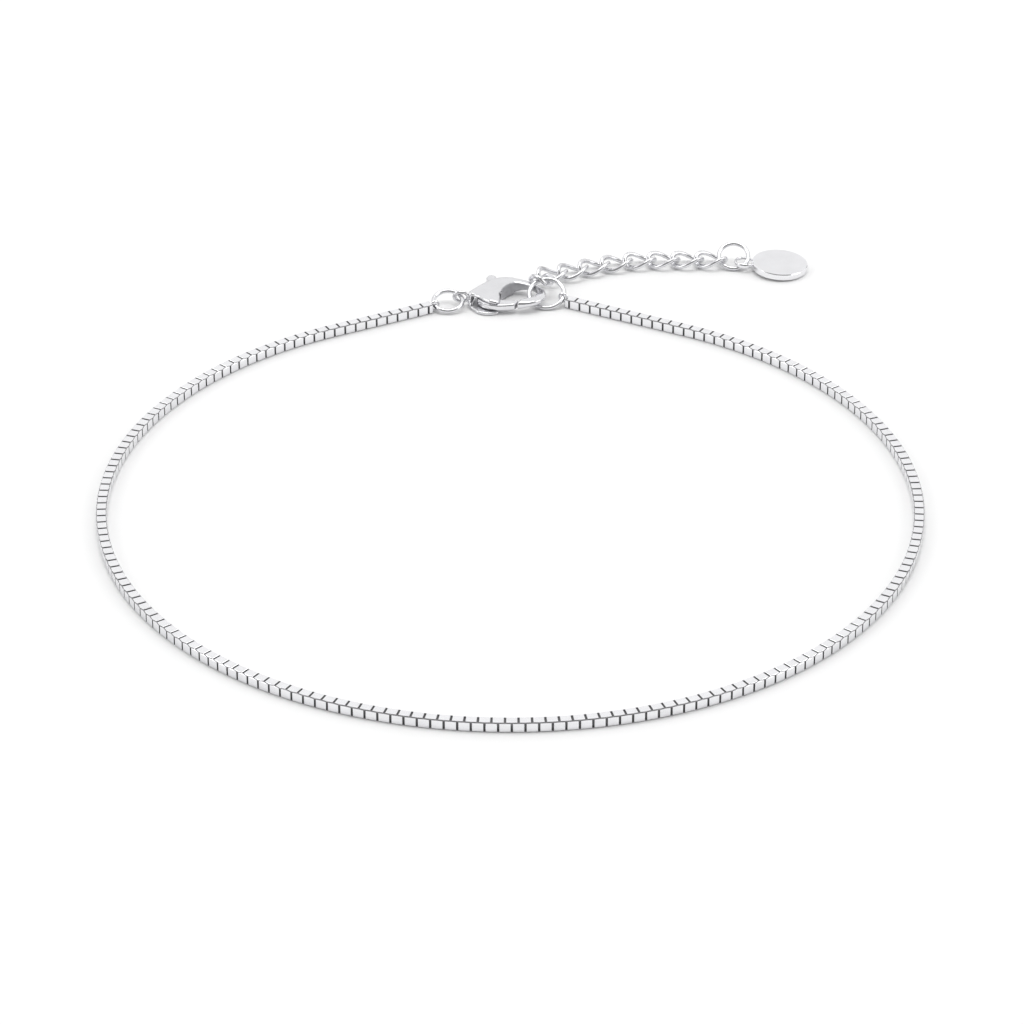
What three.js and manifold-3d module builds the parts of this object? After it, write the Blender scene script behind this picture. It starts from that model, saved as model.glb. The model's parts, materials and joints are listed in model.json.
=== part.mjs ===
// Anklet lying on a table: box chain, lobster clasp, curb-link extender and a round tag.
// Millimetres, +Z up. The loop's centre is the origin until the last line moves the whole to its frame.
import * as THREE from "three";
import { mergeVertices } from "three/addons/utils/BufferGeometryUtils.js";
import Module from "manifold-3d";

// Box chain
const LOOP_RADIUS = 36.7;
const END_SLOPE = 27.27; // degrees, how far the straight ends lean from the X axis
const LINK_COUNT = 389; // upright and flat links in turn, upright at both ends
const LINK_STEP = 0.561;
const LEFT_RUN = 9.75; // straight chain at the left end
const CHAIN_HEIGHT = 0.95;
const PAD_WIDTH = 0.7;
const LINK_GAP = 0.18; // daylight between two links on one face
const END_BAR = 0.3;
// Loop soldered on each end of the chain, and the height of its middle at the left and right end
const END_EYE = { radius: 0.45, wire: 0.22, reach: 0.85, heights: [0.57, 0.84] };

// Jump rings: centre-line radius, wire, centre and the slope of the ring's plane along X and Y
const RING_WIRE = 0.44;
const CLASP_RING = { radius: 1.407, centre: [-6.084, 38.107, 0.739], slope: [0.005, 0.29] };
const HOOK_RING = { radius: 1.7, centre: [3.521, 39.136, 1.02], slope: [0.059, 0.528] };
const TAG_RING = { radius: 1.45, centre: [22.12, 47.16, 0.99], slope: [0.05, 0.6] };

// Clasp, in its own frame: X along it to the hook's end, Y to the knob's side
const CLASP_PLACE = [0, 39.3];
const CLASP_TURN = -3;
const CHEEK_HEIGHT = 1.5;
const HOOK_BACK = [0.1, 1.46]; // floor and top of the hook where it leaves the cheeks
const HOOK_TIP = [0.68, 1.26]; // and at its end and tip
const POCKET_FLOOR = 0.32;
const POCKET_HEIGHT = 0.86;
const PIVOT = [-2.3, -0.9];
const PIN_RADIUS = 0.26;
const GATE_REACH = 3.33; // from the pivot to the gate's end
const PLAY = 0.12;
const LEVER_HEIGHT = 0.66;

// Extender
const CURB = { length: 3.02, width: 2.1, wire: 0.46, twist: 42, count: 9, step: 2.36 };
// The first link leans down from its ring; the others follow the path
const FIRST_LINK = { centre: [3.04, 41.46, 1.32], heading: 90.4, pitch: 24.4, roll: 1.8 };
const SECOND_RUN = 2.67; // run along the path to the second link's middle
const EXTENDER_PATH = [
  [2.9, 41.2, 1.6],
  [3.3, 42.7, 1.15],
  [5.1, 43.9, 0.86],
  [8, 45.4, 0.7],
  [12.4, 46.75, 0.68],
  [17.2, 46.95, 0.68],
  [21.6, 46.95, 0.72],
];

// Tag
const TAG_RADIUS = 2.75;
const TAG_THICK = 0.65;
const TAG_PLACE = [26.65, 46.25];
const TAG_TURN = -4;
const TAG_LIFT = 3.1; // degrees, the ear's end leans up on its ring
const EAR = { radius: 0.9, wire: 0.3, reach: 3.5 };

const wasm = await Module();
wasm.setup();
const rad = THREE.MathUtils.degToRad;

function sewn(geometry) {
  const bare = geometry.clone();
  bare.deleteAttribute("normal");
  bare.deleteAttribute("uv");
  return mergeVertices(bare, 1e-4);
}

function solid(geometry) {
  const shell = sewn(geometry);
  return new wasm.Manifold(
    new wasm.Mesh({
      numProp: 3,
      vertProperties: new Float32Array(shell.attributes.position.array),
      triVerts: new Uint32Array(shell.index.array),
    }),
  );
}

function geometryOf(made) {
  const mesh = made.getMesh();
  const geometry = new THREE.BufferGeometry();
  geometry.setAttribute("position", new THREE.BufferAttribute(mesh.vertProperties, 3));
  geometry.setIndex(new THREE.BufferAttribute(mesh.triVerts, 1));
  geometry.computeVertexNormals();
  return geometry;
}

const silver = new THREE.MeshStandardMaterial({ color: 0xe9e9ec, roughness: 0.16, metalness: 1 });
const satin = new THREE.MeshStandardMaterial({ color: 0xdcdce0, roughness: 0.42, metalness: 1 });
const anklet = new THREE.Group();
anklet.name = "anklet";

function place(name, geometry, material) {
  const mesh = new THREE.Mesh(geometry, material);
  mesh.name = name;
  anklet.add(mesh);
  return mesh;
}

// Where the chain is after a run s from its left end: left straight, round the front, right straight.
function chainStation(s) {
  const lean = rad(END_SLOPE);
  const first = Math.PI / 2 + lean;
  const sweep = 2 * Math.PI - 2 * lean;
  const along = THREE.MathUtils.clamp((s - LEFT_RUN) / LOOP_RADIUS, 0, sweep);
  const heading = first + along + Math.PI / 2;
  const run = along === 0 ? s - LEFT_RUN : along === sweep ? s - LEFT_RUN - sweep * LOOP_RADIUS : 0;
  const tangent = new THREE.Vector3(Math.cos(heading), Math.sin(heading), 0);
  const side = new THREE.Vector3(-tangent.y, tangent.x, 0);
  const point = side.clone().multiplyScalar(-LOOP_RADIUS).addScaledVector(tangent, run);
  return { point, tangent, side };
}

// Upright and flat box links fused where they bear on each other. Each link's opening is the daylight
// between its two neighbours, so an opening's corners are also the corners of the neighbours' pads.
function boxChain() {
  const half = CHAIN_HEIGHT / 2;
  const pad = PAD_WIDTH / 2;
  const points = [];
  const faces = [];
  const links = [];
  const addLink = (s, upright, before, after) => {
    const { point, tangent, side } = chainStation(s);
    const corner = {};
    for (const t of [-1, 1])
      for (const m of [-1, 1])
        for (const n of [-1, 1]) {
          const out = upright ? [m * half, n * pad] : [n * pad, m * half];
          const v = point.clone().addScaledVector(tangent, t < 0 ? -before : after);
          v.addScaledVector(side, out[0]);
          corner[[t, m, n]] = before + after === 0 && t > 0 ? corner[[-1, m, n]] : points.length / 3;
          if (corner[[t, m, n]] === points.length / 3) points.push(v.x, v.y, v.z + half + out[1]);
        }
    links.push({ upright, corner, real: before + after > 0 });
  };
  const last = (LINK_COUNT - 1) * LINK_STEP;
  const tip = LINK_GAP / 2 + END_BAR;
  addLink(-tip, true, 0, 0);
  addLink(-tip, false, 0, 0);
  for (let i = 0; i < LINK_COUNT; i++) addLink(i * LINK_STEP, i % 2 === 0, LINK_GAP / 2, LINK_GAP / 2);
  addLink(last + tip, false, 0, 0);
  addLink(last + tip, true, 0, 0);

  const face = (turned, a, b, c) => faces.push(...(turned ? [a, c, b] : [a, b, c]));
  const quad = (turned, a, b, c, d) => {
    face(turned, a, b, c);
    face(turned, a, c, d);
  };
  for (let i = 1; i < links.length - 1; i++) {
    const was = (t, m, n) => links[i - 1].corner[[t, m, n]];
    const now = (t, m, n) => links[i].corner[[t, m, n]];
    const next = (t, m, n) => links[i + 1].corner[[t, m, n]];
    const flat = !links[i].upright;
    for (const q of [-1, 1]) {
      quad(flat !== q < 0, was(1, q, -1), next(-1, q, -1), next(-1, q, 1), was(1, q, 1));
      for (const m of [-1, 1]) {
        const turned = flat !== m * q < 0;
        face(turned, was(1, q, m), next(-1, q, m), now(1, m, q));
        if (links[i].real) face(turned, was(1, q, m), now(1, m, q), now(-1, m, q));
      }
    }
    if (!links[i].real) continue;
    quad(flat, now(-1, -1, -1), now(-1, 1, -1), now(-1, 1, 1), now(-1, -1, 1));
    quad(flat, now(1, -1, -1), now(1, -1, 1), now(1, 1, 1), now(1, 1, -1));
    quad(flat, now(-1, -1, 1), now(-1, 1, 1), now(1, 1, 1), now(1, -1, 1));
    quad(flat, now(-1, -1, -1), now(1, -1, -1), now(1, 1, -1), now(-1, 1, -1));
  }
  const cap = (uprights, flats, turned) => {
    const u = (s, z) => uprights.corner[[-1, s, z]];
    const f = (s, z) => flats.corner[[-1, z, s]];
    const round = [u(1, -1), u(1, 1), f(1, 1), f(-1, 1), u(-1, 1), u(-1, -1), f(-1, -1), f(1, -1)];
    for (let k = 1; k < 7; k++) face(turned, round[0], round[k], round[k + 1]);
  };
  cap(links[0], links[1], true);
  cap(links[links.length - 1], links[links.length - 2], false);

  const geometry = new THREE.BufferGeometry();
  geometry.setAttribute("position", new THREE.Float32BufferAttribute(points, 3));
  geometry.setIndex(faces);
  const eyes = endEye(-END_EYE.reach, 0).add(endEye(last + END_EYE.reach, 1));
  return geometryOf(solid(geometry).add(eyes));
}

function endEye(s, end) {
  const { point, tangent } = chainStation(s);
  const eye = new THREE.TorusGeometry(END_EYE.radius, END_EYE.wire / 2, 6, 12).rotateX(Math.PI / 2);
  eye.rotateZ(Math.atan2(tangent.y, tangent.x));
  return solid(eye.translate(point.x, point.y, END_EYE.heights[end]));
}

function jumpRing({ radius, centre, slope }) {
  const up = new THREE.Vector3(-slope[0], -slope[1], 1).normalize();
  const turn = new THREE.Quaternion().setFromUnitVectors(new THREE.Vector3(0, 0, 1), up);
  const ring = new THREE.TorusGeometry(radius, RING_WIRE / 2, 6, 18);
  return ring.applyQuaternion(turn).translate(...centre);
}

// A flat shape raised to a height, with its edges broken inside its own outline.
function plate(shape, floor, height, edge, steps = 8) {
  const raised = new THREE.ExtrudeGeometry(shape, {
    depth: height - 2 * edge,
    bevelEnabled: edge > 0,
    bevelSize: edge,
    bevelOffset: -edge,
    bevelThickness: edge,
    bevelSegments: 2,
    curveSegments: steps,
  });
  return raised.translate(0, 0, floor + edge);
}

function outline(points) {
  return new THREE.Shape(points.map(([x, y]) => new THREE.Vector2(x, y)));
}

function disc(at, radius, floor, height, sides) {
  const made = new THREE.CylinderGeometry(radius, radius, height, sides).rotateX(Math.PI / 2);
  return solid(made.translate(at[0], at[1], floor + height / 2));
}

// Thins a plate of unit height from the hook's back to its end and its tip.
function taperHook(block) {
  const geometry = sewn(block);
  const at = geometry.attributes.position;
  for (let i = 0; i < at.count; i++) {
    const toEnd = THREE.MathUtils.smoothstep(at.getX(i), -0.6, 2.2);
    const toTip = THREE.MathUtils.smoothstep(-at.getY(i), -1, 1);
    const floor = THREE.MathUtils.lerp(HOOK_BACK[0], HOOK_TIP[0], toEnd);
    const top = THREE.MathUtils.lerp(HOOK_BACK[1], HOOK_TIP[1], Math.max(toEnd, toTip));
    at.setZ(i, THREE.MathUtils.lerp(floor, top, at.getZ(i)));
  }
  return geometry;
}

function claspBody() {
  const head = new THREE.Shape().absellipse(0.51, 0.06, 3.1, 2.42, 0, 2 * Math.PI, false, rad(-25));
  head.holes.push(new THREE.Path().absellipse(0.55, -0.03, 2.06, 1.52, 0, 2 * Math.PI, true));
  const gateRoom = new THREE.Shape().absarc(...PIVOT, GATE_REACH + PLAY, rad(-75), rad(0), false);
  gateRoom.lineTo(...PIVOT);
  const ring = solid(taperHook(plate(head, 0, 1, 0.28, 14)));
  const hook = ring.subtract(solid(plate(gateRoom, 0, 2, 0)));

  // The upper cheek stops short of the lower one, which shows as a tongue under the gate
  const back = [
    [0.2, 1.4], [0.2, 2.58], [-0.7, 2.57], [-1.36, 2.42], [-2, 1.98], [-2.55, 1.45], [-3.2, 0.55],
    [-3.8, -0.3], [-4.12, -0.85],
  ];
  const upper = outline([
    ...back, [-4, -1.2], [-3.5, -1.4], [-3.05, -1.65], [-2.5, -2.25], [-1.95, -2.65], [-1.3, -2.85],
    [-0.95, -2.55], [-0.88, -1.6], [-1, -0.8], [-0.6, 0.45], [-0.2, 1.1],
  ]);
  const lower = outline([
    ...back, [-4.1, -1.35], [-3.7, -2], [-3.1, -2.72], [-2.3, -3.08], [-1.6, -3.02], [-1.05, -2.72],
    [-0.9, -2.2], [-1.1, -1.2], [-1, -0.4], [-0.6, 0.6], [-0.2, 1.1],
  ]);
  const cheeks = solid(plate(upper, 0, CHEEK_HEIGHT, 0.26)).add(solid(plate(lower, 0, 0.7, 0.16)));
  const room = outline([
    [-3.75, -4], [-3.75, -0.9], [-3.55, 0], [-3.9, 1.4], [-4.2, 4], [-1.15, 4], [-1.15, 0.7], [-0.85, -0.9],
    [-0.85, -4],
  ]);
  const pocket = solid(plate(room, POCKET_FLOOR, POCKET_HEIGHT, 0));
  const pin = disc(PIVOT, PIN_RADIUS, 0.2, CHEEK_HEIGHT - 0.4, 12);
  const eye = new THREE.TorusGeometry(0.5, 0.16, 6, 14).rotateX(Math.PI / 2).scale(1.35, 1, 1);
  return hook.add(cheeks).subtract(pocket).add(pin).add(solid(eye.translate(-4.75, -0.85, 0.88)));
}

function claspLever() {
  const [px, py] = PIVOT;
  const onReach = (y) => [px + Math.sqrt(GATE_REACH ** 2 - (y - py) ** 2), y];
  const shape = outline([
    onReach(-2.5), onReach(-2), onReach(-1.58), [-0.6, -1.55], [-1.2, -1.35], [-1.6, -0.7], [-1.85, 0.3],
    [-1.8, 2.4], [-1.58, 2.7], [-1.52, 3.15], [-1.7, 3.5], [-2.05, 3.65], [-2.4, 3.5], [-2.56, 3.1],
    [-2.48, 2.7], [-2.3, 2.4], [-2.4, 0.4], [-2.85, -0.3], [-3.2, -1], [-3.15, -1.6], [-2.6, -2.3],
    [-1.9, -2.65], [-1.1, -2.8], [-0.3, -2.72],
  ]);
  const floor = POCKET_FLOOR + (POCKET_HEIGHT - LEVER_HEIGHT) / 2;
  const bore = disc(PIVOT, PIN_RADIUS + PLAY, 0, 2, 14);
  return solid(plate(shape, floor, LEVER_HEIGHT, 0.14)).subtract(bore);
}

function setClasp(made) {
  const geometry = geometryOf(made).rotateZ(rad(CLASP_TURN));
  return geometry.translate(...CLASP_PLACE, 0);
}

// Twisted oval of one curb link, along X, its near side low at the left and high at the right.
class CurbLoop extends THREE.Curve {
  getPoint(t, target = new THREE.Vector3()) {
    const a = 2 * Math.PI * t;
    const across = (CURB.width / 2) * Math.sin(a);
    const twist = rad(-CURB.twist) * Math.cos(a);
    return target.set((CURB.length / 2) * Math.cos(a), across * Math.cos(twist), across * Math.sin(twist));
  }
}

const extenderPath = new THREE.CatmullRomCurve3(EXTENDER_PATH.map((p) => new THREE.Vector3(...p)));

function curbLink() {
  return new THREE.TubeGeometry(new CurbLoop(), 14, CURB.wire / 2, 6, true);
}

function linkOnPath(run) {
  const u = run / extenderPath.getLength();
  const along = extenderPath.getTangentAt(u);
  const across = new THREE.Vector3(-along.y, along.x, 0).normalize();
  const turn = new THREE.Matrix4().makeBasis(along, across, along.clone().cross(across));
  return curbLink().applyMatrix4(turn.setPosition(extenderPath.getPointAt(u)));
}

function firstLink({ centre, heading, pitch, roll }) {
  const link = curbLink().rotateX(rad(roll)).rotateY(rad(pitch)).rotateZ(rad(heading));
  return link.translate(...centre);
}

function tag() {
  const rim = 0.12;
  const inner = TAG_RADIUS - rim;
  const profile = [
    [0, 0],
    [inner, 0],
    [TAG_RADIUS, rim],
    [TAG_RADIUS, TAG_THICK - rim],
    [inner, TAG_THICK],
    [0, TAG_THICK],
  ].map((p) => new THREE.Vector2(...p));
  const face = new THREE.LatheGeometry(profile, 36).rotateX(Math.PI / 2);
  const ear = new THREE.TorusGeometry(EAR.radius, EAR.wire / 2, 6, 16);
  const made = solid(face).add(solid(ear.translate(-EAR.reach, 0, TAG_THICK / 2)));
  const geometry = geometryOf(made).translate(-TAG_RADIUS, 0, 0).rotateY(rad(TAG_LIFT));
  return geometry.translate(TAG_RADIUS, 0, 0).rotateZ(rad(TAG_TURN)).translate(...TAG_PLACE, 0);
}

place("chain", boxChain(), silver);
place("jump_ring_clasp", jumpRing(CLASP_RING), silver);
place("clasp_body", setClasp(claspBody()), silver);
place("clasp_lever", setClasp(claspLever()), silver);
place("jump_ring_extender", jumpRing(HOOK_RING), silver);
place("extender_link_1", firstLink(FIRST_LINK), silver);
for (let i = 2; i <= CURB.count; i++) {
  place(`extender_link_${i}`, linkOnPath(SECOND_RUN + (i - 2) * CURB.step), silver);
}
place("jump_ring_tag", jumpRing(TAG_RING), silver);
place("tag", tag(), satin);

const box = new THREE.Box3().setFromObject(anklet);
const middle = box.getCenter(new THREE.Vector3());
anklet.position.set(-middle.x, -middle.y, -box.min.z);

export default anklet;
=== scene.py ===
"""Dresses the anklet: box chain, jump rings, lobster clasp, curb-link extender and round tag."""

import json
import math

import bmesh
import bpy
import numpy as np
from bpy.props import FloatProperty, FloatVectorProperty, IntProperty, PointerProperty
from mathutils import Matrix, Vector

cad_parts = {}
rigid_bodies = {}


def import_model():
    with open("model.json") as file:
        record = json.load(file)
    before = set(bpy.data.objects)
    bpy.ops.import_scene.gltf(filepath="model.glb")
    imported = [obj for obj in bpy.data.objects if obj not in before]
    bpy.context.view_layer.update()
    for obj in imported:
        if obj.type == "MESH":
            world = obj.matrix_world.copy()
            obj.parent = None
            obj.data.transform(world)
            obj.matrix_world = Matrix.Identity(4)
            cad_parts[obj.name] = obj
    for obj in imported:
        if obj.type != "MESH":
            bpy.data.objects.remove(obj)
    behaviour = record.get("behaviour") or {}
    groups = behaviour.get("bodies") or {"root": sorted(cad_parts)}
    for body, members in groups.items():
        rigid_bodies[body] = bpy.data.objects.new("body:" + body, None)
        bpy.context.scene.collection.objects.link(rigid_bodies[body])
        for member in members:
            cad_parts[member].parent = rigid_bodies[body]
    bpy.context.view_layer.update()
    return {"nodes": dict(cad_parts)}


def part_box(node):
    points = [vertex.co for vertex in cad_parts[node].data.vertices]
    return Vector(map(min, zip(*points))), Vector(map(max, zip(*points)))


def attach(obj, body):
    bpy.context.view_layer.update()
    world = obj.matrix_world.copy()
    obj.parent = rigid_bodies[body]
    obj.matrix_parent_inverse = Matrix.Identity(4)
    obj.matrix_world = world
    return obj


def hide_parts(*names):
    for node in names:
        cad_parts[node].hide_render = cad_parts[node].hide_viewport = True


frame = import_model()
NODES = frame["nodes"]

bl_info = {
    "name": "Anklet",
    "version": (1, 0, 0),
    "blender": (4, 5, 0),
    "location": "3D View > Sidebar > Anklet",
    "description": "Models and finishes a box-chain anklet on its CAD frame",
    "category": "Add Mesh",
}

LINKS = [f"extender_link_{i}" for i in range(1, 10)]
RINGS = ["jump_ring_clasp", "jump_ring_extender", "jump_ring_tag"]

MM = 0.001
# metres below which two places are the same
TINY = 1e-7
# least part of a face's normal along an axis for the face to look that way
FACING = 0.9
FLAT = 0.999
# where most values of a noise texture lie
NOISE_LOW = 0.3
NOISE_HIGH = 0.7
# angles, in degrees, below which neighbouring faces are shaded as one curve
CHAIN_CREASE = 12
WIRE_CREASE = 60
TAG_CREASE = 40

# The lengths below are in millimetres, and shares are parts of the size that they are used with.

# box links: bevel where the strip bends, flat border and swell at a link's ends
LINK_BEND = 0.025
LINK_END_BORDER = 0.07
LINK_END_SWELL = 0.47
# points of the box links: shares of the corner that they reach out and down, share of their width
# that is left at the tip, the steepness of their slope, past which a face is painted grey as shade,
# and how near the link's middle they are
POINT_OUT = 0.62
POINT_DOWN = 0.5
POINT_TIP = 0.06
POINT_SLOPE = 0.3
POINT_PLACE = 0.2
# chain: steps round its curve, spare path past each end, trim of the last links
LOOP_STEPS = 480
PATH_SPARE = 2.0
END_TRIM = 0.011
# pads that close the chain's ends
PAD_LAP = 0.01
PAD_BEVEL = 0.03
# loops soldered on the chain's ends: distance past the last link, size, heights above the table
END_EYE_RUN = 0.85
END_EYE_RADIUS = 0.45
END_EYE_WIRE = 0.11
LEFT_EYE_HEIGHT = 0.57
RIGHT_EYE_HEIGHT = 0.84

# jump rings: width of the hair line where the wire closes, share of the wire left in it
SEAM_WIDTH = 0.03
SEAM_NECK = 0.88

# extender links: steps of the oval's quarter and of its wire
CURB_STEPS = 18
CURB_WIRE_STEPS = 4

# clasp: distance ahead of the loop's centre, and turn in degrees
CLASP_AHEAD = 39.3
CLASP_TURN = -3
# casting: strength and number of the rubs that round it, and what it swells by to make up for them
RUB = 0.5
BODY_RUBS = 40
BODY_SWELL = 0.03
LEVER_RUBS = 24
LEVER_SWELL = 0.02
# in the clasp's own millimetres: the end of its tail, the lever's pivot, and the way from it to the mouth
TAIL_END = Vector((-4.08, 0, 0))
TAIL_WAY = Vector((-1, 0, 0))
PIVOT = Vector((-2.3, -0.9, 0))
MOUTH = Vector((0.94, -0.342, 0)).normalized()
GATE_LENGTH = 3.19
# the upright loop on the tail
TAIL_EYE_PLACE = Vector((-4.75, -0.85, 0.88))
TAIL_EYE_RADIUS = 0.5
TAIL_EYE_WIRE = 0.16
TAIL_EYE_STRETCH = 1.35
# the hook's eye, whose walls are painted grey as shade: middle and half sizes of its oval, how far past the
# oval its walls go, where they begin
HOOK_EYE = Vector((0.55, -0.03))
HOOK_EYE_LONG = 2.06
HOOK_EYE_WIDE = 1.52
HOOK_EYE_MARGIN = 1.6
HOOK_EYE_START = -0.3
WALL_TILT = 0.75
WALL_INWARD = 0.3
# the gate's slot, whose walls and the floor under the gate are painted grey as shade: its ends, floor and
# roof, and what of its floor lies under the gate
SLOT_TAIL = -3.9
SLOT_FRONT = -0.8
SLOT_BASE = 0.25
SLOT_FLOOR = 0.42
SLOT_ROOF = 1.2
SLOT_SIDE = -1.2
SLOT_LEVEL = 0.97
GATE_TAIL = -3.1
GATE_SWEEP = Vector((-1.08, -0.41))
GATE_SWEEP_RADIUS = 2.45
# the seam at the mouth, measured from the pivot, whose faces are painted grey as shade
SEAT_NEAR = 3.3
SEAT_FAR = 3.7
SEAT_FACING = -0.8
GATE_END_NEAR = 3.0
GATE_END_FACING = 0.85

# tag: widths of the two bands inside its rim, place from the loop's centre, turn and lift in degrees
TAG_STEPS = 128
TAG_BANDS = (0.06, 0.3)
TAG_PLACE = Vector((26.65, 46.25, 0))
TAG_TURN = -4
TAG_LIFT = 3.1
# the tag's ear: place from the tag's middle, size, and the part of it that is hammered deeper
EAR_PLACE = -3.5
EAR_RADIUS = 0.9
EAR_WIRE = 0.15
EAR_ARM = -0.84
EAR_DEEPER = 1.8
EAR_SPREAD = 0.34

# stage, in metres and watts: name, place, width and power of each softbox, all aimed at the origin
TABLE_WIDTH = 6
TABLE_CELLS = 8
SOFTBOXES = (
    ("softbox_above", Vector((0, 0.12, 0.9)), 0.7, 2.6),
    ("softbox_left", Vector((-0.7, -0.1, 0.5)), 0.5, 0.8),
    ("softbox_right", Vector((0.7, -0.1, 0.5)), 0.5, 0.8),
)
# sky: height in degrees of the dim side, where its shade begins and is full, and its two levels
DIM_HEIGHT = 42
DIM_START = 0.35
DIM_FULL = 0.9
SKY_LEVEL = 1.0
DIM_LEVEL = 0.3
# skirting: where its shade is full and where it ends, and its level
SKIRTING_FOOT = 0.02
SKIRTING_TOP = 0.3
SKIRTING_LEVEL = 0.4
# camera: lens in millimetres, tilt in degrees, distance, and its aim from the loop's centre and the table
LENS = 155.36
SENSOR = 36
TILT = 30.516
DISTANCE = 395.34
AIM_RIGHT = 0.15
AIM_AHEAD = -2.75
AIM_HEIGHT = 0.95
# nearest and farthest that the camera sees, in metres
NEAR_CLIP = 0.01
FAR_CLIP = 20


def linear(colour):
    """Linear RGBA of an sRGB hex colour."""
    parts = [int(colour[i : i + 2], 16) / 255 for i in (0, 2, 4)]
    return tuple(c / 12.92 if c <= 0.04045 else ((c + 0.055) / 1.055) ** 2.4 for c in parts) + (1.0,)


def size(name, description, default):
    """A length that the user can change, given in millimetres."""
    return FloatProperty(
        name=name, description=description, default=default * MM, unit="LENGTH", precision=5
    )


def angle(name, description, default):
    """An angle that the user can change, given in degrees."""
    return FloatProperty(
        name=name, description=description, default=math.radians(default), subtype="ANGLE"
    )


def shade(name, description, default):
    """A colour that the user can change, given as sRGB hex."""
    return FloatVectorProperty(
        name=name, description=description, default=linear(default), subtype="COLOR", size=4, min=0, max=1
    )


class AnkletSizes(bpy.types.PropertyGroup):
    """Sizes of the pieces; the places of rings and extender links come from the CAD nodes."""

    loop_radius: size("Loop radius", "Middle of the chain round the front", 36.7)
    end_slope: angle("End slope", "Lean of the two straight ends of the chain", 27.27)
    left_run: size("Left run", "Straight chain at the left end", 9.75)
    link_count: IntProperty(
        name="Box links", description="Upright and flat links in turn", default=389, min=3
    )
    link_step: size("Link step", "From one box link to the next", 0.561)
    link_gap: size("Link gap", "Daylight between two links on one face of the chain", 0.18)
    chain_height: size("Chain height", "Outside height and depth of the box chain", 0.95)
    strip_width: size("Strip width", "Width of the strip a box link is bent from", 0.78)
    strip_thickness: size("Strip thickness", "Thickness of that strip", 0.08)
    ring_wire: size("Ring wire", "Wire of the jump rings", 0.44)
    curb_length: size("Curb length", "Length of an extender link's centre line", 3.02)
    curb_width: size("Curb width", "Width of an extender link's centre line", 2.1)
    curb_wire: size("Curb wire", "Wire of the extender links", 0.46)
    curb_twist: angle("Curb twist", "Turn of each end of an extender link about its length", 42)
    clasp_grain: size("Clasp grain", "Cell size the cast clasp is rounded with", 0.055)
    tag_radius: size("Tag radius", "Radius of the round tag", 2.75)
    tag_thickness: size("Tag thickness", "Thickness of the tag", 0.65)
    tag_rim: size("Tag rim", "Polished corner round the tag's face", 0.07)


class AnkletFinishes(bpy.types.PropertyGroup):
    """Colours of the finishes, of the grey painted as shade, and of the stage."""

    silver: shade("Silver", "Polished silver where it is clean", "F8F8FA")
    silver_dull: shade("Handled silver", "Polished silver where it has been handled", "EAEAEC")
    tumbled: shade("Tumbled silver", "Tumbled silver where it is clean", "E9E9EB")
    tumbled_dull: shade("Handled tumbled silver", "Tumbled silver where it has been handled", "DADADD")
    # painted shade: dark grey inside the box links and on their end swells, darker in patches
    painted_recess_shade: shade("Painted recess shade", "Silver inside the links, painted dark grey for the shade there", "7A7A7B")
    painted_recess_shade_dark: shade("Darker painted recess shade", "Darker patches of the painted shade inside the links", "565657")
    # painted shade: grey on the points' edge faces, which draws the shade line along the chain's corners,
    # darker in patches
    painted_edge_shade: shade("Painted edge shade", "Edge faces of the box links' points, painted grey for the shade line along the chain's corners", "98989A")
    painted_edge_shade_dark: shade("Darker painted edge shade", "Darker patches on those painted edges", "7A7A7C")
    # painted shade: grey inside the clasp's eye and slot and at the gate's seam, darker in patches
    cast_skin: shade("Cast skin", "Silver inside the clasp, painted grey for the shade there", "CBCBCE")
    cast_skin_soil: shade("Soiled cast skin", "Darker patches of the painted shade inside the clasp", "B4B4B7")
    satin: shade("Satin", "Blasted face of the tag", "EDEDEF")
    satin_dull: shade("Handled satin", "Blasted face where it has been handled", "DFDFE1")
    floor: shade("Floor", "Matt white table", "FBFBFB")
    floor_dull: shade("Uneven floor", "Table where it is a little greyer", "F9F9F9")


def sizes():
    return bpy.context.scene.anklet_sizes


def finishes():
    return bpy.context.scene.anklet_finishes


# Modelling helpers


def rest():
    """Leaves edit mode and deselects everything."""
    if bpy.context.object and bpy.context.object.mode != "OBJECT":
        bpy.ops.object.mode_set(mode="OBJECT")
    bpy.ops.object.select_all(action="DESELECT")


def take(obj):
    """Makes obj the one selected object."""
    rest()
    obj.select_set(True)
    bpy.context.view_layer.objects.active = obj


def edit(obj):
    """Opens obj alone in edit mode."""
    take(obj)
    bpy.ops.object.mode_set(mode="EDIT")


def pick(kind, test):
    """Selects the vertices, edges or faces of the mesh in edit mode that pass a test."""
    bpy.ops.mesh.select_mode(type={"verts": "VERT", "edges": "EDGE", "faces": "FACE"}[kind])
    bpy.ops.mesh.select_all(action="DESELECT")
    mesh = bmesh.from_edit_mesh(bpy.context.object.data)
    chosen = [part for part in getattr(mesh, kind) if test(part)]
    if not chosen:
        raise RuntimeError(f"nothing to pick on {bpy.context.object.name}")
    for part in chosen:
        part.select_set(True)
    mesh.select_flush_mode()
    bmesh.update_edit_mesh(bpy.context.object.data)


def middle(face):
    return face.calc_center_median()


def finish(obj, material_index):
    """Gives the picked faces of the mesh in edit mode one of its materials."""
    obj.active_material_index = material_index
    bpy.ops.object.material_slot_assign()


def apply(obj, kind, **settings):
    """Adds a modifier with these settings and applies it."""
    take(obj)
    made = obj.modifiers.new(kind.title(), kind)
    for name, value in settings.items():
        setattr(made, name, value)
    bpy.ops.object.modifier_apply(modifier=made.name)


def fuse(name, parts):
    """Joins parts into one piece at the origin."""
    rest()
    for part in parts:
        part.select_set(True)
    bpy.context.view_layer.objects.active = parts[0]
    bpy.ops.object.transform_apply(location=True, rotation=True, scale=True)
    if len(parts) > 1:
        bpy.ops.object.join()
    piece = bpy.context.object
    piece.name = piece.data.name = name
    return piece


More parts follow.
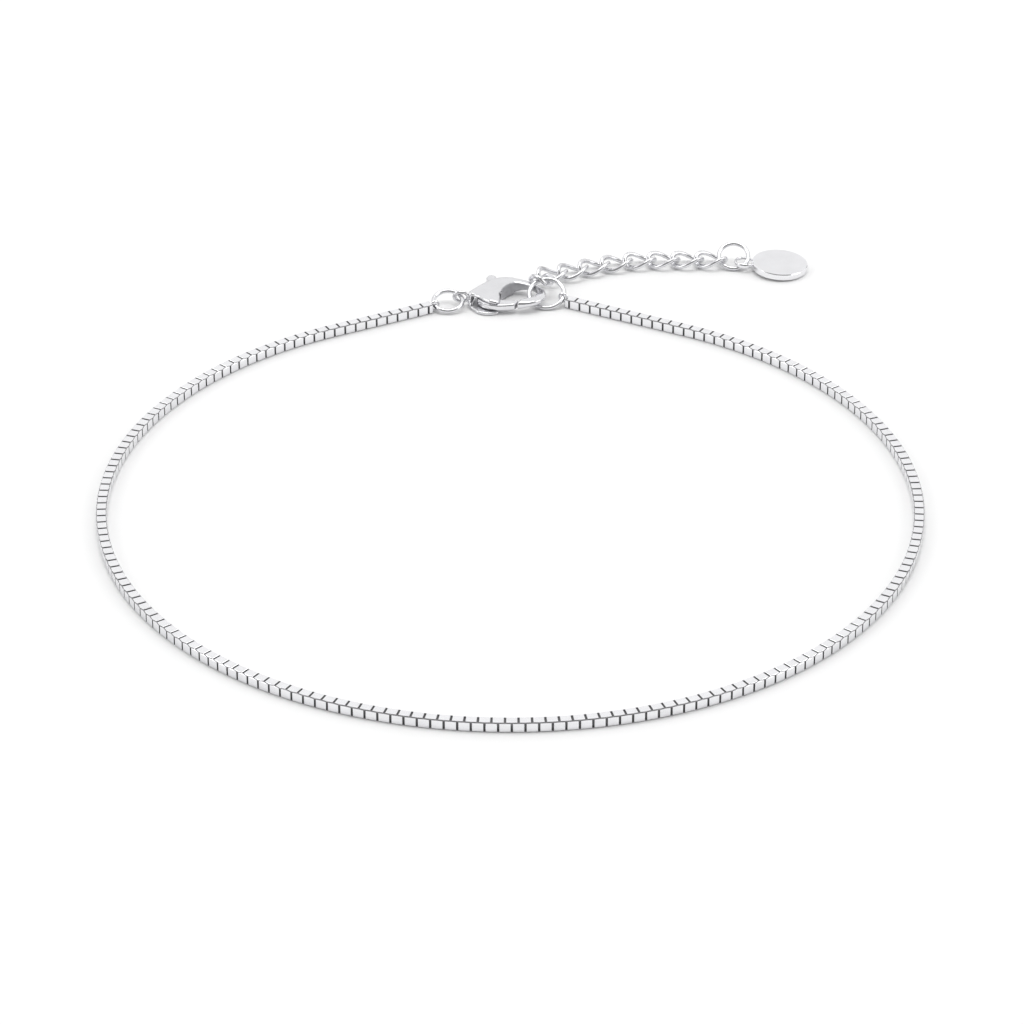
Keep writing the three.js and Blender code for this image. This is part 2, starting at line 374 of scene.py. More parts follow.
def smooth(obj, degrees):
    """Shades obj as curved, apart from edges that are sharper than this."""
    take(obj)
    bpy.ops.object.shade_smooth_by_angle(angle=math.radians(degrees))


def dress(piece, body, slot, materials, *nodes):
    """Gives a finished piece its body and its materials and hides the CAD nodes it stands for; its slot is
    not used.
    """
    slots = piece.data.materials
    for index, material in enumerate(materials):
        if index < len(slots):
            slots[index] = material
        else:
            slots.append(material)
    if len(slots) != len(materials):
        raise RuntimeError(f"{piece.name} has {len(slots)} materials")
    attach(piece, body)
    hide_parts(*nodes)


def corners(node):
    """The merged vertices of a CAD node."""
    points = np.array([v.co for v in NODES[node].data.vertices], float)
    return np.unique(points.round(8), axis=0)


def lay(node):
    """Place of a CAD node from its own shape: middle, then its long, middle and short direction."""
    points = corners(node)
    axes = np.linalg.svd(points - points.mean(0), full_matrices=False)[2]
    axes[2] = np.cross(axes[0], axes[1])
    place = Matrix(axes.T.tolist()).to_4x4()
    place.translation = Vector(points.mean(0).tolist())
    return place


def loop_centre():
    """Centre of the chain's round, from the chain's CAD box."""
    low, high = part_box("chain")
    reach = sizes().loop_radius + sizes().chain_height / 2
    return Vector(((low.x + high.x) / 2, low.y + reach, sizes().chain_height / 2))


# Materials


def add(tree, kind, inputs, **settings):
    """Adds a node with its settings; an input is a value or the socket it is linked from."""
    made = tree.nodes.new(kind)
    for name, value in settings.items():
        setattr(made, name, value)
    for socket, value in inputs.items():
        if isinstance(value, bpy.types.NodeSocket):
            tree.links.new(value, made.inputs[socket])
        else:
            made.inputs[socket].default_value = value
    return made


def blank(name):
    """A new material with no nodes but a place to read."""
    material = bpy.data.materials.new(name)
    material.use_nodes = True
    tree = material.node_tree
    tree.nodes.clear()
    return material, tree, add(tree, "ShaderNodeTexCoord", {}).outputs["Object"]


def buffed_silver(name, clean, dull):
    """Silver, tumbled and buffed: bright, with faint haze in patches and hair-fine rub marks."""
    # patches of handling about 1.5 mm across, so neighbouring links differ a little
    patch = 1.5 * MM
    dull_rough, clean_rough = 0.2, 0.1
    # rub marks are about 0.02 mm in life and drawn at 0.12 mm so that they show
    mark = 0.12 * MM
    mark_depth = 0.004 * MM
    mark_strength = 0.06
    material, tree, place = blank(name)
    haze = add(tree, "ShaderNodeTexNoise", {"Vector": place, "Scale": 1 / patch, "Detail": 2.0})
    colour = add(
        tree,
        "ShaderNodeMix",
        {"Factor": haze.outputs["Fac"], "A": dull, "B": clean},
        data_type="RGBA",
    )
    rubs = add(tree, "ShaderNodeTexNoise", {"Vector": place, "Scale": 1 / mark, "Detail": 3.0})
    gloss = add(
        tree,
        "ShaderNodeMapRange",
        {
            "Value": haze.outputs["Fac"],
            "From Min": NOISE_LOW,
            "From Max": NOISE_HIGH,
            "To Min": dull_rough,
            "To Max": clean_rough,
        },
    )
    relief = add(
        tree,
        "ShaderNodeBump",
        {"Height": rubs.outputs["Fac"], "Strength": mark_strength, "Distance": mark_depth},
    )
    shader = add(
        tree,
        "ShaderNodeBsdfPrincipled",
        {
            "Base Color": colour.outputs["Result"],
            "Metallic": 1.0,
            "Roughness": gloss.outputs["Result"],
            "Normal": relief.outputs["Normal"],
        },
    )
    add(tree, "ShaderNodeOutputMaterial", {"Surface": shader.outputs["BSDF"]})
    return material


def painted_shade_silver(name, clean, darker_shade):
    """Matt silver painted grey as shade, darker in patches."""
    patch = 0.3 * MM
    material, tree, place = blank(name)
    shade_patches = add(tree, "ShaderNodeTexNoise", {"Vector": place, "Scale": 1 / patch, "Detail": 3.0})
    colour = add(
        tree,
        "ShaderNodeMix",
        {"Factor": shade_patches.outputs["Fac"], "A": darker_shade, "B": clean},
        data_type="RGBA",
    )
    shader = add(
        tree,
        "ShaderNodeBsdfPrincipled",
        {"Base Color": colour.outputs["Result"], "Metallic": 1.0, "Roughness": 0.55},
    )
    add(tree, "ShaderNodeOutputMaterial", {"Surface": shader.outputs["BSDF"]})
    return material


def satin_silver(name, clean, dull):
    """Silver, bead-blasted: an even soft grey with a fine grain."""
    patch = 2.0 * MM
    # bead marks are about 0.04 mm in life and drawn at 0.1 mm so that they show
    mark = 0.1 * MM
    mark_depth = 0.01 * MM
    mark_strength = 0.25
    fine_rough, coarse_rough = 0.36, 0.5
    material, tree, place = blank(name)
    grain = add(tree, "ShaderNodeTexNoise", {"Vector": place, "Scale": 1 / mark, "Detail": 4.0})
    cloud = add(tree, "ShaderNodeTexNoise", {"Vector": place, "Scale": 1 / patch, "Detail": 2.0})
    colour = add(
        tree,
        "ShaderNodeMix",
        {"Factor": cloud.outputs["Fac"], "A": dull, "B": clean},
        data_type="RGBA",
    )
    gloss = add(
        tree,
        "ShaderNodeMapRange",
        {
            "Value": grain.outputs["Fac"],
            "From Min": NOISE_LOW,
            "From Max": NOISE_HIGH,
            "To Min": fine_rough,
            "To Max": coarse_rough,
        },
    )
    relief = add(
        tree,
        "ShaderNodeBump",
        {"Height": grain.outputs["Fac"], "Strength": mark_strength, "Distance": mark_depth},
    )
    shader = add(
        tree,
        "ShaderNodeBsdfPrincipled",
        {
            "Base Color": colour.outputs["Result"],
            "Metallic": 1.0,
            "Roughness": gloss.outputs["Result"],
            "Normal": relief.outputs["Normal"],
        },
    )
    add(tree, "ShaderNodeOutputMaterial", {"Surface": shader.outputs["BSDF"]})
    return material


def matt_board(name, clean, dull):
    """White coated board: no gloss, barely uneven."""
    patch = 40 * MM
    material, tree, place = blank(name)
    tooth = add(tree, "ShaderNodeTexNoise", {"Vector": place, "Scale": 1 / patch, "Detail": 2.0})
    colour = add(
        tree,
        "ShaderNodeMix",
        {"Factor": tooth.outputs["Fac"], "A": dull, "B": clean},
        data_type="RGBA",
    )
    shader = add(
        tree,
        "ShaderNodeBsdfPrincipled",
        {"Base Color": colour.outputs["Result"], "Roughness": 0.9, "Specular IOR Level": 0.1},
    )
    add(tree, "ShaderNodeOutputMaterial", {"Surface": shader.outputs["BSDF"]})
    return material


def once(name, maker, clean, dull):
    """The material of this name, made the first time that it is asked for."""
    return bpy.data.materials.get(name) or maker(name, clean, dull)


def silver():
    """Sterling silver of the chain and the tag's edge, buffed on a wheel."""
    return once("polished_sterling_silver", buffed_silver, finishes().silver, finishes().silver_dull)


def tumbled():
    """Sterling silver of the rings, extender and clasp, tumbled and not buffed, so a little greyer."""
    return once("tumbled_sterling_silver", buffed_silver, finishes().tumbled, finishes().tumbled_dull)


def painted_recess_shade():
    """Silver strip inside the box links, painted dark grey as the shade in and between the links."""
    return once("unpolished_silver", painted_shade_silver, finishes().painted_recess_shade, finishes().painted_recess_shade_dark)


def painted_edge_shade():
    """Edge of the silver strip on the box links' points, painted grey as the fine shade line along the
    chain's corners.
    """
    return once("sheared_silver_edge", painted_shade_silver, finishes().painted_edge_shade, finishes().painted_edge_shade_dark)


def cast_skin():
    """Silver inside the clasp's eye and slot and at the gate's seam, painted grey as the shade there."""
    return once("cast_silver_skin", painted_shade_silver, finishes().cast_skin, finishes().cast_skin_soil)


def satin():
    """Sterling silver of the tag's face."""
    return once("satin_sterling_silver", satin_silver, finishes().satin, finishes().satin_dull)


def table_white():
    """The table's top."""
    return once("matt_white_board", matt_board, finishes().floor, finishes().floor_dull)


# Pieces


def box_link(name):
    """One upright box link at the origin along X: a flat strip bent to a square loop, its wide faces
    drawn out to points that fill the corners between the links next to it."""
    s = sizes()
    long = s.link_step - s.link_gap / 2
    wide = s.strip_width / 2
    tall = s.chain_height / 2
    rest()
    bpy.ops.mesh.primitive_cube_add(size=2)
    link = bpy.context.object
    link.name = name
    bpy.ops.object.mode_set(mode="EDIT")
    bpy.ops.transform.resize(value=(long, wide, tall))
    pick("edges", lambda e: abs(e.verts[0].co.y - e.verts[1].co.y) > wide)
    bpy.ops.mesh.bevel(offset=LINK_BEND * MM, segments=1, affect="EDGES")
    pick("faces", lambda f: abs(f.normal.y) > FACING)
    bpy.ops.mesh.inset(thickness=s.strip_thickness, use_even_offset=True)
    bpy.ops.mesh.bridge_edge_loops()
    for material in (silver(), painted_recess_shade(), painted_edge_shade()):
        link.data.materials.append(material)
    # the inside of the loop, its ends and the swell there that meets the next link are painted dark grey as
    # shade
    pick("faces", lambda f: f.normal.x * middle(f).x + f.normal.z * middle(f).z < -TINY)
    finish(link, 1)
    for end in (-1, 1):
        pick("faces", lambda f: f.normal.x * end > FACING and middle(f).x * end > FACING * long)
        finish(link, 1)
        bpy.ops.mesh.inset(thickness=LINK_END_BORDER * MM)
        swell = (end * LINK_END_SWELL * s.link_gap, 0, 0)
        bpy.ops.mesh.extrude_region_move(TRANSFORM_OT_translate={"value": swell})
    corner = tall - wide
    for side in (-1, 1):
        for up in (-1, 1):
            pick(
                "faces",
                lambda f: f.normal.y * side > FACING
                and middle(f).z * up > tall - s.strip_thickness
                and abs(middle(f).x) < POINT_PLACE * long,
            )
            tip = Vector((0, side * POINT_OUT * corner, -up * POINT_DOWN * corner))
            bpy.ops.mesh.extrude_region_move(TRANSFORM_OT_translate={"value": tip})
            bpy.ops.transform.resize(value=(POINT_TIP, 1, 1))
    # all of a point but its slope is painted grey, which draws the shade line along the chain's corners
    pick(
        "faces",
        lambda f: abs(middle(f).y) > wide - TINY
        and f.normal.z * middle(f).z < POINT_SLOPE * abs(middle(f).z),
    )
    finish(link, 2)
    bpy.ops.object.mode_set(mode="OBJECT")
    return link


def chain_path():
    """The chain's centre line as a curve, with spare length at both ends: left straight, round the
    front, right straight."""
    s = sizes()
    spare = PATH_SPARE * MM
    centre = loop_centre()
    first = math.pi / 2 + s.end_slope
    sweep = 2 * math.pi - 2 * s.end_slope
    start = centre + s.loop_radius * Vector((math.cos(first), math.sin(first), 0))
    ahead = Vector((-math.sin(first), math.cos(first), 0))
    last = first + sweep
    right_run = (s.link_count - 1) * s.link_step - s.left_run - sweep * s.loop_radius
    away = Vector((-math.sin(last), math.cos(last), 0))
    rest()
    bpy.ops.mesh.primitive_plane_add(size=MM)
    path = bpy.context.object
    path.name = "chain_path"
    bpy.ops.object.mode_set(mode="EDIT")
    bpy.ops.mesh.merge(type="CENTER")
    bpy.ops.transform.translate(value=start - (s.left_run + spare) * ahead)
    bpy.ops.mesh.extrude_region_move(TRANSFORM_OT_translate={"value": (s.left_run + spare) * ahead})
    bpy.ops.mesh.spin(steps=LOOP_STEPS, angle=-sweep, center=centre, axis=(0, 0, 1))
    bpy.ops.mesh.extrude_region_move(TRANSFORM_OT_translate={"value": (right_run + spare) * away})
    bpy.ops.object.mode_set(mode="OBJECT")
    bpy.ops.object.convert(target="CURVE")
    path = bpy.context.object
    if path.data.splines[0].points[0].co.x > 0:
        bpy.ops.object.mode_set(mode="EDIT")
        bpy.ops.curve.select_all(action="SELECT")
        bpy.ops.curve.switch_direction()
        bpy.ops.object.mode_set(mode="OBJECT")
    path.data.dimensions = "3D"
    path.data.twist_mode = "Z_UP"
    return path


class ANKLET_OT_box_chain(bpy.types.Operator):
    """Models the box chain: square links, upright and flat in turn, run along the loop"""

    bl_idname = "anklet.box_chain"
    bl_label = "Box Chain"

    def execute(self, context):
        s = sizes()
        path = chain_path()
        chain = self.straight_links()
        # the swells past the row's two ends are cut off, and half pads close the chain there
        last = (s.link_count - 1) * s.link_step
        cut = s.link_step - s.link_gap / 2 - END_TRIM * MM
        edit(chain)
        for at, side in ((-cut, "clear_inner"), (last + cut, "clear_outer")):
            bpy.ops.mesh.select_all(action="SELECT")
            bpy.ops.mesh.bisect(plane_co=(at, 0, 0), plane_no=(1, 0, 0), use_fill=True, **{side: True})
        bpy.ops.object.mode_set(mode="OBJECT")
        pad_run = (s.link_gap / 2 + cut) / 2
        pad_length = cut - s.link_gap / 2 + PAD_LAP * MM
        pads = [self.end_pad(at, pad_length) for at in (-pad_run, last + pad_run)]
        chain = fuse("box_chain", [chain, *pads])
        edit(chain)
        bpy.ops.mesh.select_all(action="SELECT")
        bpy.ops.transform.translate(value=(PATH_SPARE * MM, 0, 0))
        bpy.ops.object.mode_set(mode="OBJECT")
        apply(chain, "CURVE", object=path, deform_axis="POS_X")
        bpy.data.objects.remove(path)
        eyes = [self.end_eye(at) for at in (-END_EYE_RUN * MM, last + END_EYE_RUN * MM)]
        chain = fuse("box_chain", [chain, *eyes])
        smooth(chain, CHAIN_CREASE)
        dress(chain, "anklet", "polished_silver", [silver(), painted_recess_shade(), painted_edge_shade()], "chain")
        return {"FINISHED"}

    def straight_links(self):
        """All the links in a straight row along X, the first one at the origin."""
        s = sizes()
        upright = box_link("upright_link")
        take(upright)
        bpy.ops.object.duplicate()
        flat = bpy.context.object
        bpy.ops.object.mode_set(mode="EDIT")
        bpy.ops.mesh.select_all(action="SELECT")
        bpy.ops.transform.rotate(value=math.pi / 2, orient_axis="X", center_override=(0, 0, 0))
        bpy.ops.transform.translate(value=(s.link_step, 0, 0))
        bpy.ops.object.mode_set(mode="OBJECT")
        row = fuse("box_chain", [upright, flat])
        apply(
            row,
            "ARRAY",
            count=(s.link_count + 1) // 2,
            use_relative_offset=False,
            use_constant_offset=True,
            constant_offset_displace=(2 * s.link_step, 0, 0),
        )
        if s.link_count % 2:
            # the last pair has a flat link too many
            edit(row)
            pick("faces", lambda f: middle(f).x > (s.link_count + 0.5) * s.link_step)
            bpy.ops.mesh.select_linked()
            bpy.ops.mesh.delete(type="VERT")
            bpy.ops.object.mode_set(mode="OBJECT")
        return row

    def end_pad(self, run, length):
        """Half a side pad that closes an end of the chain, at a run along the straight chain."""
        s = sizes()
        rest()
        bpy.ops.mesh.primitive_cube_add(size=1)
        pad = bpy.context.object
        bpy.ops.object.mode_set(mode="EDIT")
        bpy.ops.transform.resize(value=(length, s.chain_height, s.strip_width))
        bpy.ops.mesh.bevel(offset=PAD_BEVEL * MM, segments=2, affect="EDGES")
        bpy.ops.mesh.select_all(action="SELECT")
        bpy.ops.transform.translate(value=(run, 0, 0))
        bpy.ops.object.mode_set(mode="OBJECT")
        pad.data.materials.append(silver())
        return pad

    def end_eye(self, run):
        """The small loop soldered on an end of the chain, at a run along it."""
        s = sizes()
        first = math.pi / 2 + s.end_slope
        sweep = 2 * math.pi - 2 * s.end_slope
        left = run < 0
        turn = first if left else first + sweep
        along = run - s.left_run - (0 if left else sweep * s.loop_radius)
        out = Vector((math.cos(turn), math.sin(turn), 0))
        ahead = Vector((-out.y, out.x, 0))
        place = loop_centre() + s.loop_radius * out + along * ahead
        place.z = (LEFT_EYE_HEIGHT if left else RIGHT_EYE_HEIGHT) * MM
        rest()
        bpy.ops.mesh.primitive_torus_add(
            major_radius=END_EYE_RADIUS * MM,
            minor_radius=END_EYE_WIRE * MM,
            major_segments=32,
            minor_segments=10,
            location=place,
            rotation=(math.pi / 2, 0, turn + math.pi / 2),
        )
        eye = bpy.context.object
        eye.data.materials.append(silver())
        bpy.ops.object.transform_apply(location=True, rotation=True, scale=True)
        return eye


class ANKLET_OT_jump_rings(bpy.types.Operator):
    """Models the three jump rings, each with the fine line where its wire closes"""

    bl_idname = "anklet.jump_rings"
    bl_label = "Jump Rings"

    def execute(self, context):
        wire = sizes().ring_wire / 2
        for name in RINGS:
            place = lay(name)
            reach = np.linalg.norm(corners(name) - np.array(place.translation), axis=1).max()
            rest()
            bpy.ops.mesh.primitive_torus_add(
                major_radius=reach - wire, minor_radius=wire, major_segments=96, minor_segments=24
            )
            ring = bpy.context.object
            self.close_wire(ring, reach - wire)
            ring.matrix_world = place
            ring = fuse(name + "_wire", [ring])
            smooth(ring, WIRE_CREASE)
            dress(ring, "anklet", "polished_silver", [tumbled()], name)
        return {"FINISHED"}

    def close_wire(self, ring, radius):
        """Sinks a hair line round the wire where its two ends meet."""
        edit(ring)
        pick("edges", lambda e: all(v.co.x > 0 and abs(v.co.y) < TINY for v in e.verts))
        bpy.ops.mesh.bevel(offset=SEAM_WIDTH * MM, segments=2, affect="EDGES")
        pick("verts", lambda v: v.co.x > 0 and abs(v.co.y) < TINY)
        bpy.ops.transform.resize(value=[SEAM_NECK] * 3, center_override=(radius, 0, 0))
        bpy.ops.object.mode_set(mode="OBJECT")


class ANKLET_OT_extender(bpy.types.Operator):
    """Models one twisted curb link and copies it along the extender"""

    bl_idname = "anklet.extender"
    bl_label = "Extender Links"

    def execute(self, context):
        s = sizes()
        rest()
        bpy.ops.curve.primitive_bezier_circle_add(radius=1)
        oval = bpy.context.object
        bpy.ops.object.mode_set(mode="EDIT")
        bpy.ops.curve.select_all(action="SELECT")
        bpy.ops.transform.resize(value=(s.curb_length / 2, s.curb_width / 2, 1))
        bpy.ops.object.mode_set(mode="OBJECT")
        oval.data.resolution_u = CURB_STEPS
        oval.data.bevel_resolution = CURB_WIRE_STEPS
        oval.data.bevel_depth = s.curb_wire / 2
        bpy.ops.object.convert(target="MESH")
        pattern = bpy.context.object
        edit(pattern)
        bpy.ops.mesh.select_all(action="SELECT")
        bpy.ops.mesh.remove_doubles(threshold=TINY)
        bpy.ops.mesh.normals_make_consistent(inside=False)
        bpy.ops.object.mode_set(mode="OBJECT")
        # the twist is spread over the whole link, which is longer than its centre line by one wire
        whole = (s.curb_length + s.curb_wire) / s.curb_length
        apply(
            pattern,
            "SIMPLE_DEFORM",
            deform_method="TWIST",
            deform_axis="X",
            angle=-2 * s.curb_twist * whole,
        )
        for name in LINKS:
            take(pattern)
            bpy.ops.object.duplicate()
            link = bpy.context.object
            link.matrix_world = lay(name)
            link = fuse(name + "_wire", [link])
            smooth(link, WIRE_CREASE)
            dress(link, "anklet", "polished_silver", [tumbled()], name)
        bpy.data.objects.remove(pattern)
        return {"FINISHED"}


class ANKLET_OT_clasp(bpy.types.Operator):
    """Rounds the cast body and lever of the lobster clasp"""

    bl_idname = "anklet.clasp"
    bl_label = "Lobster Clasp"

    def execute(self, context):
        # the second material is grey painted as shade inside the hook's eye and slot and at the gate's seam
        materials = [tumbled(), cast_skin()]
        body = self.cast("clasp_body", TAIL_END, TAIL_WAY, BODY_RUBS, BODY_SWELL)
        body = fuse("clasp_body_cast", [body, self.tail_eye()])
        self.paint_shade(body, self.body_recess)
        dress(body, "anklet", "polished_silver", materials, "clasp_body")
        lever = self.cast("clasp_lever", PIVOT + GATE_LENGTH * MOUTH, MOUTH, LEVER_RUBS, LEVER_SWELL)
        self.paint_shade(lever, self.lever_painted_shade)
        dress(lever, "lever", "polished_silver", materials, "clasp_lever")
        return {"FINISHED"}

    def place(self):
        """Place of the clasp on the loop, turned a little to the right."""
        centre = loop_centre()
        spot = Matrix.Translation((centre.x, centre.y + CLASP_AHEAD * MM, 0))
        return spot @ Matrix.Rotation(math.radians(CLASP_TURN), 4, "Z")

    def cast(self, node, cut, outward, rubs, swell):
        """A merged copy of a CAD node, cut back at one end, closed over in fine cells and rubbed smooth."""
        piece = bpy.data.objects.new(node + "_cast", NODES[node].data.copy())
        bpy.context.scene.collection.objects.link(piece)
        place = self.place()
        edit(piece)
        bpy.ops.mesh.select_all(action="SELECT")
        bpy.ops.mesh.remove_doubles(threshold=TINY)
        bpy.ops.mesh.select_all(action="SELECT")
        bpy.ops.mesh.bisect(
            plane_co=place @ (cut * MM), plane_no=place.to_3x3() @ outward, use_fill=True, clear_outer=True
        )
        bpy.ops.object.mode_set(mode="OBJECT")
        apply(piece, "REMESH", mode="VOXEL", voxel_size=sizes().clasp_grain, adaptivity=0)
        apply(piece, "SMOOTH", factor=RUB, iterations=rubs)
        apply(piece, "DISPLACE", strength=swell * MM, mid_level=0)
        # what swelled below the table is flattened on it
        if min(v.co.z for v in piece.data.vertices) < 0:
            edit(piece)
            pick("verts", lambda v: v.co.z < 0)
            bpy.ops.transform.resize(value=(1, 1, 0), center_override=(0, 0, 0))
        take(piece)
        bpy.ops.object.shade_smooth()
        # the second slot is grey painted as shade on the inner faces
        piece.data.materials.clear()
        piece.data.materials.append(tumbled())
        piece.data.materials.append(cast_skin())
        return piece

    def tail_eye(self):
        """The upright loop cast on the tail, which the jump ring passes through."""
        rest()
        bpy.ops.mesh.primitive_torus_add(
            major_radius=TAIL_EYE_RADIUS * MM,
            minor_radius=TAIL_EYE_WIRE * MM,
            major_segments=48,
            minor_segments=16,
        )
        eye = bpy.context.object
        upright = Matrix.Diagonal((TAIL_EYE_STRETCH, 1, 1, 1)) @ Matrix.Rotation(math.pi / 2, 4, "X")
        eye.matrix_world = self.place() @ Matrix.Translation(TAIL_EYE_PLACE * MM) @ upright
        bpy.ops.object.shade_smooth()
        eye.data.materials.append(tumbled())
        return eye

    def paint_shade(self, piece, inside):
        """Paints the faces that pass a test, in the clasp's own millimetres, with the grey that stands for
        shade.
        """
        home = self.place().inverted()
        turn = home.to_3x3()
        edit(piece)
        pick("faces", lambda f: inside((home @ middle(f)) / MM, turn @ f.normal))
        finish(piece, 1)
        bpy.ops.object.mode_set(mode="OBJECT")

    def body_recess(self, point, normal):
        """Where shade is painted: walls of the hook's eye, floor and walls of the slot, and the face that
        the gate shuts on.
        """
        inward = HOOK_EYE - point.xy
        oval = (inward.x / HOOK_EYE_LONG) ** 2 + (inward.y / HOOK_EYE_WIDE) ** 2
        if oval < HOOK_EYE_MARGIN and max(point.x, point.y) > HOOK_EYE_START:
            if abs(normal.z) < WALL_TILT and normal.xy.dot(inward) > WALL_INWARD * inward.length:
                return True
        if SLOT_TAIL < point.x < SLOT_FRONT and SLOT_BASE < point.z < SLOT_ROOF:
            under_gate = point.x < GATE_TAIL or (point.xy - GATE_SWEEP).length < GATE_SWEEP_RADIUS
            if point.z < SLOT_FLOOR and under_gate and normal.z > SLOT_LEVEL:
                return True
            if point.z > SLOT_FLOOR and point.y > SLOT_SIDE:
                return True
        reach = (point - PIVOT).xy.dot(MOUTH.xy)
        return SEAT_NEAR < reach < SEAT_FAR and normal.xy.dot(MOUTH.xy) < SEAT_FACING

    def lever_painted_shade(self, point, normal):
        """Where shade is painted: the gate's own end."""
        reach = (point - PIVOT).xy.dot(MOUTH.xy)
        return reach > GATE_END_NEAR and normal.xy.dot(MOUTH.xy) > GATE_END_FACING


class ANKLET_OT_tag(bpy.types.Operator):
    """Models the round tag with its satin face, polished edge and ear"""

    bl_idname = "anklet.tag"
    bl_label = "Round Tag"

    def execute(self, context):
        tag = fuse("round_tag", [self.disc(), self.ear()])
        # the tag rests on its edge across from the ear, which its ring lifts
        to_edge = Matrix.Translation((sizes().tag_radius, 0, 0))
        lift = to_edge @ Matrix.Rotation(math.radians(TAG_LIFT), 4, "Y") @ to_edge.inverted()
        place = loop_centre() + TAG_PLACE * MM
        place.z = 0
        tag.matrix_world = Matrix.Translation(place) @ Matrix.Rotation(math.radians(TAG_TURN), 4, "Z") @ lift
        tag = fuse("round_tag", [tag])
        smooth(tag, TAG_CREASE)
        dress(tag, "anklet", "satin_silver", [satin(), silver()], "tag")
        return {"FINISHED"}

    def disc(self):
        """The round plate, lying at the origin."""
        s = sizes()
        rest()
        bpy.ops.mesh.primitive_cylinder_add(
            vertices=TAG_STEPS,
            radius=s.tag_radius,
            depth=s.tag_thickness,
            location=(0, 0, s.tag_thickness / 2),
        )
        disc = bpy.context.object
        bpy.ops.object.transform_apply(location=True)
        bpy.ops.object.mode_set(mode="EDIT")
        pick("edges", lambda e: abs(e.verts[0].co.z - e.verts[1].co.z) < TINY)
        bpy.ops.mesh.bevel(offset=s.tag_rim, segments=1, affect="EDGES")
        pick("faces", lambda f: abs(f.normal.z) > FLAT)
        for band in TAG_BANDS:
            bpy.ops.mesh.inset(thickness=band * MM)
        disc.data.materials.append(satin())
        disc.data.materials.append(silver())
        pick("faces", lambda f: abs(f.normal.z) < FLAT)
        finish(disc, 1)
        bpy.ops.object.mode_set(mode="OBJECT")
        return disc

    def ear(self):
        """The loop on the plate's edge that the ring passes through."""
        height = sizes().tag_thickness / 2
        rest()
        bpy.ops.mesh.primitive_torus_add(
            major_radius=EAR_RADIUS * MM,
            minor_radius=EAR_WIRE * MM,
            major_segments=64,
            minor_segments=16,
            location=(EAR_PLACE * MM, 0, height),
        )
        ear = bpy.context.object
        bpy.ops.object.transform_apply(location=True)
        # the near arm is hammered deeper than the rest
        bpy.ops.object.mode_set(mode="EDIT")
        pick("verts", lambda v: v.co.y < EAR_ARM * MM)
        bpy.ops.transform.resize(
            value=(1, 1, EAR_DEEPER),
            center_override=(EAR_PLACE * MM, -EAR_RADIUS * MM, height),
            use_proportional_edit=True,
            proportional_edit_falloff="SMOOTH",
            proportional_size=EAR_SPREAD * MM,
        )
        ear.data.materials.append(satin())
        ear.data.materials.append(silver())
        bpy.ops.mesh.select_all(action="SELECT")
        finish(ear, 1)
        bpy.ops.object.mode_set(mode="OBJECT")
        return ear


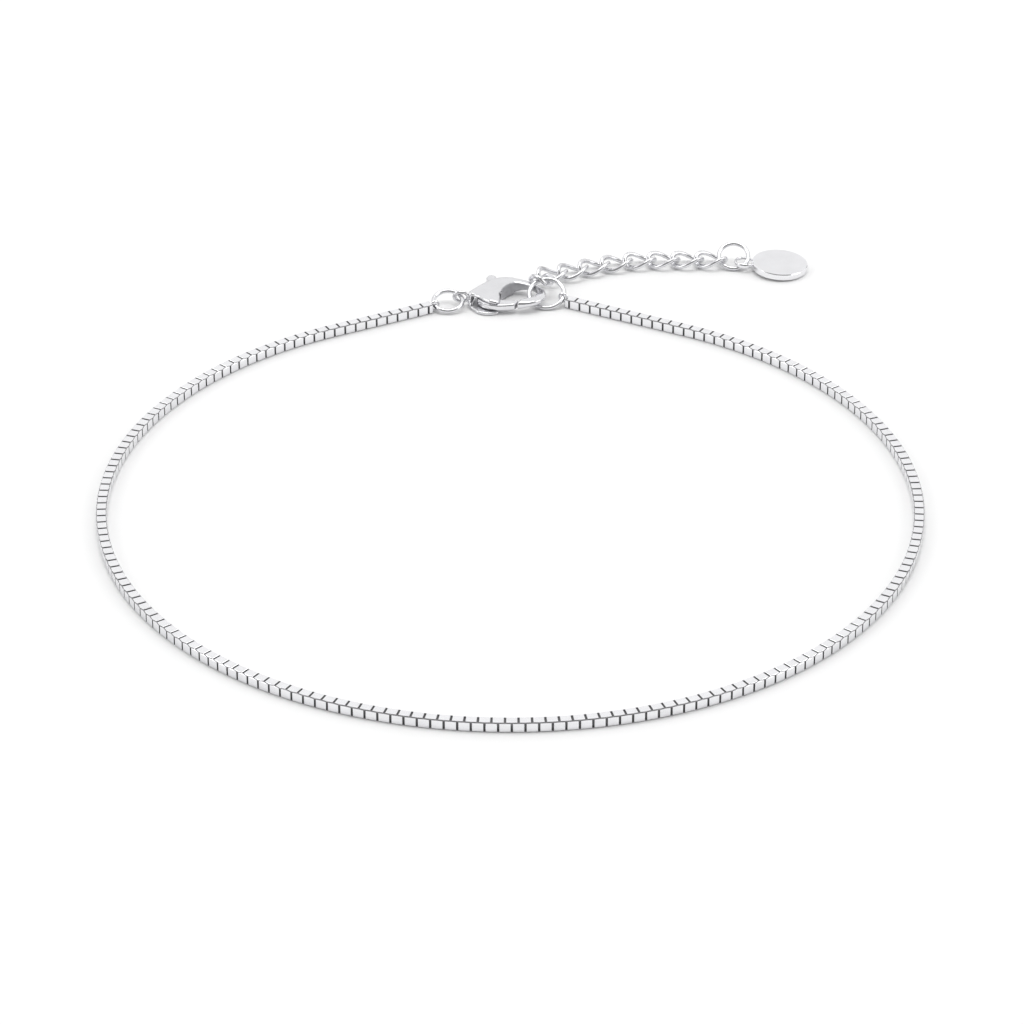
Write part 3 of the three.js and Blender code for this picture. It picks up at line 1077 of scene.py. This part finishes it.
class ANKLET_OT_stage(bpy.types.Operator):
    """Sets the white table, the soft light and the camera"""

    bl_idname = "anklet.stage"
    bl_label = "Stage"

    def execute(self, context):
        scene = context.scene
        scene.view_settings.view_transform = "Standard"
        rest()
        bpy.ops.mesh.primitive_grid_add(
            x_subdivisions=TABLE_CELLS, y_subdivisions=TABLE_CELLS, size=TABLE_WIDTH
        )
        table = bpy.context.object
        table.name = "table"
        table.data.materials.append(table_white())
        self.sky(scene)
        for softbox in SOFTBOXES:
            self.softbox(scene, *softbox)
        self.camera(scene)
        return {"FINISHED"}

    def sky(self, scene):
        """Pale walls and ceiling, dim on the picture's side, so that polished wire shows its round."""
        world = bpy.data.worlds.new("studio")
        scene.world = world
        world.use_nodes = True
        tree = world.node_tree
        tree.nodes.clear()
        ray = add(tree, "ShaderNodeTexCoord", {})
        dim = math.radians(DIM_HEIGHT)
        facing = add(
            tree,
            "ShaderNodeVectorMath",
            {0: ray.outputs["Generated"], 1: (0, -math.cos(dim), math.sin(dim))},
            operation="DOT_PRODUCT",
        )
        strength = add(
            tree,
            "ShaderNodeMapRange",
            {
                "Value": facing.outputs["Value"],
                "From Min": DIM_START,
                "From Max": DIM_FULL,
                "To Min": SKY_LEVEL,
                "To Max": DIM_LEVEL,
            },
            interpolation_type="SMOOTHSTEP",
        )
        # a darker skirting all round, which draws the thin grey edge along polished wire
        height = add(tree, "ShaderNodeSeparateXYZ", {"Vector": ray.outputs["Generated"]})
        skirting = add(
            tree,
            "ShaderNodeMapRange",
            {
                "Value": height.outputs["Z"],
                "From Min": SKIRTING_FOOT,
                "From Max": SKIRTING_TOP,
                "To Min": SKIRTING_LEVEL,
                "To Max": SKY_LEVEL,
            },
            interpolation_type="SMOOTHSTEP",
        )
        level = add(
            tree,
            "ShaderNodeMath",
            {0: strength.outputs["Result"], 1: skirting.outputs["Result"]},
            operation="MULTIPLY",
        )
        light = add(
            tree, "ShaderNodeBackground", {"Color": (1, 1, 1, 1), "Strength": level.outputs["Value"]}
        )
        add(tree, "ShaderNodeOutputWorld", {"Surface": light.outputs["Background"]})

    def softbox(self, scene, name, place, width, power):
        light = bpy.data.lights.new(name, "AREA")
        light.shape = "DISK"
        light.size = width
        light.energy = power
        lamp = bpy.data.objects.new(name, light)
        scene.collection.objects.link(lamp)
        lamp.location = place
        lamp.rotation_euler = (-place).to_track_quat("-Z", "Y").to_euler()

    def camera(self, scene):
        view = bpy.data.cameras.new("view")
        view.lens = LENS
        view.sensor_width = SENSOR
        view.clip_start = NEAR_CLIP
        view.clip_end = FAR_CLIP
        camera = bpy.data.objects.new("view", view)
        scene.collection.objects.link(camera)
        aim = Vector((AIM_RIGHT * MM, loop_centre().y + AIM_AHEAD * MM, AIM_HEIGHT * MM))
        tilt = math.radians(TILT)
        back = Vector((0, -math.cos(tilt), math.sin(tilt)))
        camera.location = aim + DISTANCE * MM * back
        camera.rotation_euler = (-back).to_track_quat("-Z", "Y").to_euler()
        scene.camera = camera


class ANKLET_PT_panel(bpy.types.Panel):
    """Lists the anklet's pieces in the order they are made"""

    bl_idname = "ANKLET_PT_panel"
    bl_label = "Anklet"
    bl_space_type = "VIEW_3D"
    bl_region_type = "UI"
    bl_category = "Anklet"

    def draw(self, context):
        for maker in MAKERS:
            self.layout.operator(maker.bl_idname)
        for group in (context.scene.anklet_sizes, context.scene.anklet_finishes):
            box = self.layout.box()
            for name in group.__annotations__:
                box.prop(group, name)


MAKERS = (
    ANKLET_OT_box_chain,
    ANKLET_OT_jump_rings,
    ANKLET_OT_clasp,
    ANKLET_OT_extender,
    ANKLET_OT_tag,
    ANKLET_OT_stage,
)
CLASSES = (AnkletSizes, AnkletFinishes, *MAKERS, ANKLET_PT_panel)


def register():
    for kind in CLASSES:
        bpy.utils.register_class(kind)
    bpy.types.Scene.anklet_sizes = PointerProperty(type=AnkletSizes)
    bpy.types.Scene.anklet_finishes = PointerProperty(type=AnkletFinishes)


def unregister():
    del bpy.types.Scene.anklet_finishes
    del bpy.types.Scene.anklet_sizes
    for kind in reversed(CLASSES):
        bpy.utils.unregister_class(kind)


def main():
    register()
    bpy.ops.anklet.box_chain()
    bpy.ops.anklet.jump_rings()
    bpy.ops.anklet.clasp()
    bpy.ops.anklet.extender()
    bpy.ops.anklet.tag()
    bpy.ops.anklet.stage()


if __name__ == "__main__":
    main()
